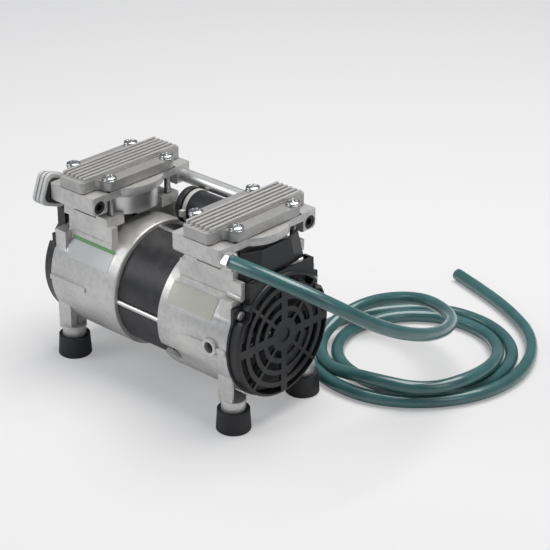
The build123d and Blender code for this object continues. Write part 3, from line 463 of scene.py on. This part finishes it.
def wrapped_patch(x_low, x_high, z_low, z_high, radius, flat_y):
    """A sticker on the near side of a shell: the height picks an angle a with sin a = (z - shaft
    height) / radius, and radius cos a is its distance from the middle, or that of the tower's flat
    face where that is more. The outline is a rectangle whose corners are pulled in along a quarter
    circle of one millimetre."""
    corner = 0.001
    across = np.linspace(-1, 1, 60)
    up = np.linspace(-1, 1, 40)
    u, v = np.meshgrid(across, up, indexing="xy")
    half_x = (x_high - x_low) / 2
    half_z = (z_high - z_low) / 2
    over = np.clip(np.abs(v) * half_z - (half_z - corner), 0, corner)
    inset = corner - np.sqrt(np.maximum(corner**2 - over**2, 0))
    x = (x_low + x_high) / 2 + u * (half_x - inset)
    z = (z_low + z_high) / 2 + v * half_z
    y = -np.maximum(radius * np.cos(np.arcsin((z - SHAFT_HEIGHT) / radius)), flat_y)
    return np.stack([x, y, z], axis=-1).reshape(-1, 3), quads(len(up), len(across), False)


# ---------------------------------------------------------------- hose
# the route in metres: out of the fitting, down to the floor, round the loops, to the open end
HOSE_ROUTE = [
    (0.1101, -0.0515, 0.1628),
    (0.1421, -0.0515, 0.1628),
    (0.1902, -0.0305, 0.1475),
    (0.2090, 0.0166, 0.1121),
    (0.2120, 0.0679, 0.0855),
    (0.2023, 0.1190, 0.0670),
    (0.1740, 0.1682, 0.0540),
    (0.1170, 0.1935, 0.0450),
    (0.0658, 0.1710, 0.0310),
    (0.0566, 0.1180, 0.0134),
    (0.0950, 0.0790, 0.0083),
    (0.1554, 0.0702, 0.0224),
    (0.2045, 0.0930, 0.0185),
    (0.2235, 0.1430, 0.0216),
    (0.2060, 0.2000, 0.0115),
    (0.1685, 0.2355, 0.0063),
    (0.1168, 0.2376, 0.0063),
    (0.0761, 0.2070, 0.0063),
    (0.0610, 0.1487, 0.0063),
    (0.0917, 0.0981, 0.0063),
    (0.1489, 0.0848, 0.0063),
    (0.2018, 0.1095, 0.0063),
    (0.2253, 0.1635, 0.0063),
    (0.2086, 0.2233, 0.0063),
    (0.1560, 0.2544, 0.0063),
    (0.0972, 0.2462, 0.0063),
    (0.0593, 0.2025, 0.0063),
    (0.0386, 0.1500, 0.0063),
    (0.0545, 0.0946, 0.0063),
    (0.1063, 0.0641, 0.0063),
    (0.1648, 0.0653, 0.0063),
    (0.2117, 0.1021, 0.0063),
    (0.2356, 0.1547, 0.0063),
    (0.2300, 0.2120, 0.0063),
    (0.1982, 0.2608, 0.0063),
    (0.1494, 0.2894, 0.0063),
    (0.1042, 0.3063, 0.0063),
    (0.0664, 0.3180, 0.0063),
]


# ---------------------------------------------------------------- studio
PUMP_MIDDLE = Vector((0.03, 0.05, 0.08))
# the camera's place, its azimuth, elevation and roll in degrees, and its focal length as a
# multiple of the sensor's width
CAMERA_PLACE = (1.0482, -1.0300, 0.8133)
CAMERA_ANGLES = (42.38, 26.01, 0.28)
CAMERA_LENGTH = 1836.2 / 550.0


# ---------------------------------------------------------------- operators
class PUMP_OT_finishes(bpy.types.Operator):
    """Gives every solid of the pump its material and softened edges"""

    bl_idname = "pump.finishes"
    bl_label = "Finishes"

    def execute(self, context):
        colours = context.scene.pump_colours
        sizes = context.scene.pump_sizes
        rubber = rubber_finish("black rubber", tuple(colours.rubber))
        castings = (colours.casting, colours.casting_dark)
        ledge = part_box("front_head_cover")[1][2] - LEDGE_BELOW_COVER_TOP
        # the covers' casting has painted shade in the hollows between their fins
        painted_fin_shade = casting_finish("cast cover", *castings, (ledge + 0.0002, ledge + 0.0036))
        finishes = {
            "cast_aluminium": casting_finish("cast aluminium", *castings),
            "anodised_aluminium": turned_finish("anodised sleeve", (0.62, 0.62, 0.62), 0.34),
            "black_steel": stator_finish("varnished stator", tuple(colours.stator)),
            "rotor_steel": turned_finish("rotor steel", (0.35, 0.35, 0.36), 0.36),
            "ground_steel": turned_finish("ground steel", (0.6, 0.6, 0.6), 0.22),
            "spring_steel": turned_finish("spring steel", (0.55, 0.56, 0.58), 0.2),
            "zinc_steel": turned_finish("zinc steel", (0.62, 0.62, 0.61), 0.3),
            "enamelled_copper": winding_finish("varnished copper", tuple(colours.copper)),
            "nickel_brass": turned_finish("nickel plate", (0.84, 0.83, 0.81), 0.34),
            "bright_tube": turned_finish("bright tube", tuple(colours.tube), 0.42),
            "black_plastic": moulding_finish("black moulding", tuple(colours.black)),
            "grey_plastic": moulding_finish("grey moulding", tuple(colours.silencer), 0.5),
            "pale_plastic": moulding_finish("pale moulding", (0.42, 0.42, 0.40), 0.45),
            "gasket_rubber": rubber,
            "black_rubber": rubber,
            "seal_ptfe": moulding_finish("filled seal", (0.10, 0.095, 0.09), 0.5),
            "hose_rubber": hose_finish("hose", tuple(colours.hose)),
        }
        softened = (
            "cast_aluminium",
            "black_plastic",
            "grey_plastic",
            "pale_plastic",
            "black_rubber",
        )
        for entry in frame["record"]["subparts"]:
            solid = frame["nodes"][entry["node"]]
            solid.data.materials.clear()
            cover = entry["node"].endswith("_head_cover")
            solid.data.materials.append(painted_fin_shade if cover else finishes[entry["material_slot"]])
            if entry["material_slot"] in softened:
                soften(solid, sizes.edge)
        return {"FINISHED"}


class PUMP_OT_screws(bpy.types.Operator):
    """Replaces the plain head screws by pan heads with a cross recess, on washers"""

    bl_idname = "pump.screws"
    bl_label = "Head screws"

    def execute(self, context):
        sizes = context.scene.pump_sizes
        zinc = turned_finish("bright zinc", (0.52, 0.53, 0.53), 0.2)
        for end in ("front", "rear"):
            low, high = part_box(f"{end}_head_screws")
            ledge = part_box(f"{end}_head_cover")[1][2] - LEDGE_BELOW_COVER_TOP
            screw = pan_screw(
                sizes.head_radius,
                high[2] - ledge - WASHER_THICKNESS,
                sizes.washer_radius,
                WASHER_THICKNESS,
                SHANK_RADIUS,
                ledge - low[2],
            )
            rows = [(low[n] + sizes.washer_radius, high[n] - sizes.washer_radius) for n in (0, 1)]
            screws = []
            for number, (x, y) in enumerate((x, y) for x in rows[0] for y in rows[1]):
                turn = math.radians(23 + 37 * number)
                cosine, sine = math.cos(turn), math.sin(turn)
                spin = ((cosine, -sine, 0), (sine, cosine, 0), (0, 0, 1))
                screws.append(placed(screw, (x, y, ledge), spin))
            made = piece(f"{end}_cross_recess_screws", screws, zinc, "pump_body")
            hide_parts(f"{end}_head_screws")
        return {"FINISHED"}


class PUMP_OT_stickers(bpy.types.Operator):
    """Lays the blank stickers on the side of both housings"""

    bl_idname = "pump.stickers"
    bl_label = "Stickers"

    def execute(self, context):
        colours = context.scene.pump_colours
        gap = context.scene.pump_sizes.sticker_gap
        radius = SHELL_RADIUS + gap
        flat_y = TOWER_HALF_WIDTH + gap
        pale = sticker_finish("pale sticker", tuple(colours.sticker))
        white = sticker_finish("white sticker", (0.56, 0.57, 0.56))
        green = sticker_finish("green band", tuple(colours.band))
        plain = (
            ("rear_sticker", -0.0955, -0.0425, 0.1035, 0.1183, white),
            ("rear_sticker_band", -0.0955, -0.0425, 0.1184, 0.1222, green),
            ("front_sticker", 0.033, 0.0865, 0.1020, 0.1200, pale),
        )
        for name, x_low, x_high, z_low, z_high, finish in plain:
            patch = wrapped_patch(x_low, x_high, z_low, z_high, radius, flat_y)
            film = piece(name, [patch], finish, "pump_body", closed=False)
            wall = film.modifiers.new("film", "SOLIDIFY")
            wall.thickness = 0.9 * gap
            wall.offset = -1.0
        return {"FINISHED"}


class PUMP_OT_hose(bpy.types.Operator):
    """Lays the hose along its route, from the fitting to its open end"""

    bl_idname = "pump.hose"
    bl_label = "Hose"

    def execute(self, context):
        diameter = context.scene.pump_sizes.hose_diameter
        curve = bpy.data.curves.new("hose_line", "CURVE")
        curve.dimensions = "3D"
        spline = curve.splines.new("NURBS")
        spline.points.add(len(HOSE_ROUTE) - 1)
        route = np.column_stack([np.asarray(HOSE_ROUTE), np.ones(len(HOSE_ROUTE))])
        spline.points.foreach_set("co", route.astype(np.float32).ravel())
        spline.order_u = 3
        spline.use_endpoint_u = True
        curve.resolution_u = 14
        curve.render_resolution_u = 14
        curve.bevel_depth = diameter / 2
        curve.bevel_resolution = 8
        curve.use_fill_caps = True
        hose = bpy.data.objects.new("green_hose", curve)
        context.scene.collection.objects.link(hose)
        curve.materials.append(hose_finish("green hose", tuple(context.scene.pump_colours.hose)))
        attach(hose, "pump_body")
        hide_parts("hose")
        return {"FINISHED"}


class PUMP_OT_hose_end(bpy.types.Operator):
    """Carries the hose over the fitting's collar, up to its hexagon"""

    bl_idname = "pump.hose_end"
    bl_label = "Hose end"

    def execute(self, context):
        outer = context.scene.pump_sizes.hose_diameter / 2
        inner = FITTING_COLLAR_RADIUS
        start = FITTING_HEXAGON_X - HOSE_ROUTE[0][0]
        profile = (
            (inner, 0.0),
            (inner, start),
            (outer - 0.0006, start),
            (outer, start + 0.0005),
            (outer, 0.0002),
            (inner, 0.0),
        )
        sleeve = placed(turned(profile), HOSE_ROUTE[0], ALONG_X)
        finish = bpy.data.materials["green hose"]
        piece("green_hose_end", [sleeve], finish, "pump_body")
        return {"FINISHED"}


class PUMP_OT_studio(bpy.types.Operator):
    """Sets the pale floor, the soft lights and the camera"""

    bl_idname = "pump.studio"
    bl_label = "Studio"

    def execute(self, context):
        scene = context.scene
        floor_mesh = bpy.data.meshes.new("studio_floor")
        reach = 6.0
        corners = [(-reach, -reach, 0), (reach, -reach, 0), (reach, reach, 0), (-reach, reach, 0)]
        floor_mesh.from_pydata(corners, [], [(0, 1, 2, 3)])
        floor = bpy.data.objects.new("studio_floor", floor_mesh)
        scene.collection.objects.link(floor)
        ground = Finish("studio ground", roughness=0.9)
        ground.paint(Base_Color=(0.69, 0.69, 0.70))
        ground.shader.inputs["Specular IOR Level"].default_value = 0.1
        seen = ground.make("ShaderNodeLightPath", "Is Camera Ray") * 0.33
        glow = ground.make("ShaderNodeEmission", 0, None, {"Color": (0.823, 0.823, 0.823)})
        lit = Reading(ground, ground.shader.outputs["BSDF"])
        blend = ground.make("ShaderNodeMixShader", 0)
        for slot, term in zip(blend.socket.node.inputs, (seen, lit, glow)):
            ground.tree.links.new(term.socket, slot)
        surface = ground.tree.nodes["Material Output"].inputs["Surface"]
        ground.tree.links.new(blend.socket, surface)
        floor_mesh.materials.append(ground.material)
        world = bpy.data.worlds.new("studio_air")
        scene.world = world
        world.use_nodes = True
        air = world.node_tree.nodes["Background"]
        air.inputs["Color"].default_value = (0.82, 0.89, 1.0, 1.0)
        air.inputs["Strength"].default_value = 0.27
        lamps = (
            ("top_lamp", (0.15, 0.45, 1.80), (1.4, 1.4), 39.0, (1.0, 0.975, 0.94)),
            ("left_lamp", (-1.00, -1.10, 0.95), (1.0, 0.8), 10.5, (1.0, 1.0, 1.0)),
            ("right_lamp", (1.45, -0.15, 0.90), (0.5, 0.9), 2.5, (1.0, 1.0, 1.0)),
        )
        for name, place, (width, height), power, colour in lamps:
            light = bpy.data.lights.new(name, "AREA")
            light.shape = "RECTANGLE"
            light.size = width
            light.size_y = height
            light.energy = power
            light.color = colour
            lamp = bpy.data.objects.new(name, light)
            scene.collection.objects.link(lamp)
            lamp.location = place
            aim = PUMP_MIDDLE - Vector(place)
            lamp.rotation_euler = aim.to_track_quat("-Z", "Y").to_euler()
        camera = bpy.data.cameras.new("studio_camera")
        camera.sensor_width = 36.0
        camera.lens = camera.sensor_width * CAMERA_LENGTH
        camera.clip_end = 50.0
        holder = bpy.data.objects.new("studio_camera", camera)
        scene.collection.objects.link(holder)
        azimuth, elevation, roll = (math.radians(part) for part in CAMERA_ANGLES)
        level = math.cos(elevation)
        back = Vector((math.sin(azimuth) * level, -math.cos(azimuth) * level, math.sin(elevation)))
        right = (-back).cross(Vector((0, 0, 1))).normalized()
        up = right.cross(-back)
        right_rolled = math.cos(roll) * right + math.sin(roll) * up
        up_rolled = -math.sin(roll) * right + math.cos(roll) * up
        rows = list(zip(right_rolled, up_rolled, back, CAMERA_PLACE))
        holder.matrix_world = Matrix(rows + [(0, 0, 0, 1)])
        scene.camera = holder
        scene.view_settings.view_transform = "Standard"
        return {"FINISHED"}


class PUMP_PT_sidebar(bpy.types.Panel):
    """Lists the pump's pieces, sizes and colours"""

    bl_idname = "PUMP_PT_sidebar"
    bl_label = "Vacuum pump"
    bl_space_type = "VIEW_3D"
    bl_region_type = "UI"
    bl_category = "Pump"

    def draw(self, context):
        for operator in OPERATORS:
            self.layout.operator(operator.bl_idname)
        for group in (context.scene.pump_sizes, context.scene.pump_colours):
            for name in group.bl_rna.properties.keys():
                if name not in ("rna_type", "name"):
                    self.layout.prop(group, name)


OPERATORS = (
    PUMP_OT_finishes,
    PUMP_OT_screws,
    PUMP_OT_stickers,
    PUMP_OT_hose,
    PUMP_OT_hose_end,
    PUMP_OT_studio,
)
CLASSES = (PumpColours, PumpSizes, *OPERATORS, PUMP_PT_sidebar)


def register():
    """Adds the classes and the scene's settings."""
    for entry in CLASSES:
        bpy.utils.register_class(entry)
    bpy.types.Scene.pump_colours = bpy.props.PointerProperty(type=PumpColours)
    bpy.types.Scene.pump_sizes = bpy.props.PointerProperty(type=PumpSizes)


def unregister():
    """Takes the classes and the scene's settings away."""
    del bpy.types.Scene.pump_colours
    del bpy.types.Scene.pump_sizes
    for entry in reversed(CLASSES):
        bpy.utils.unregister_class(entry)


def main():
    register()
    bpy.ops.pump.finishes()
    bpy.ops.pump.screws()
    bpy.ops.pump.stickers()
    bpy.ops.pump.hose()
    bpy.ops.pump.hose_end()
    bpy.ops.pump.studio()


if __name__ == "__main__":
    main()
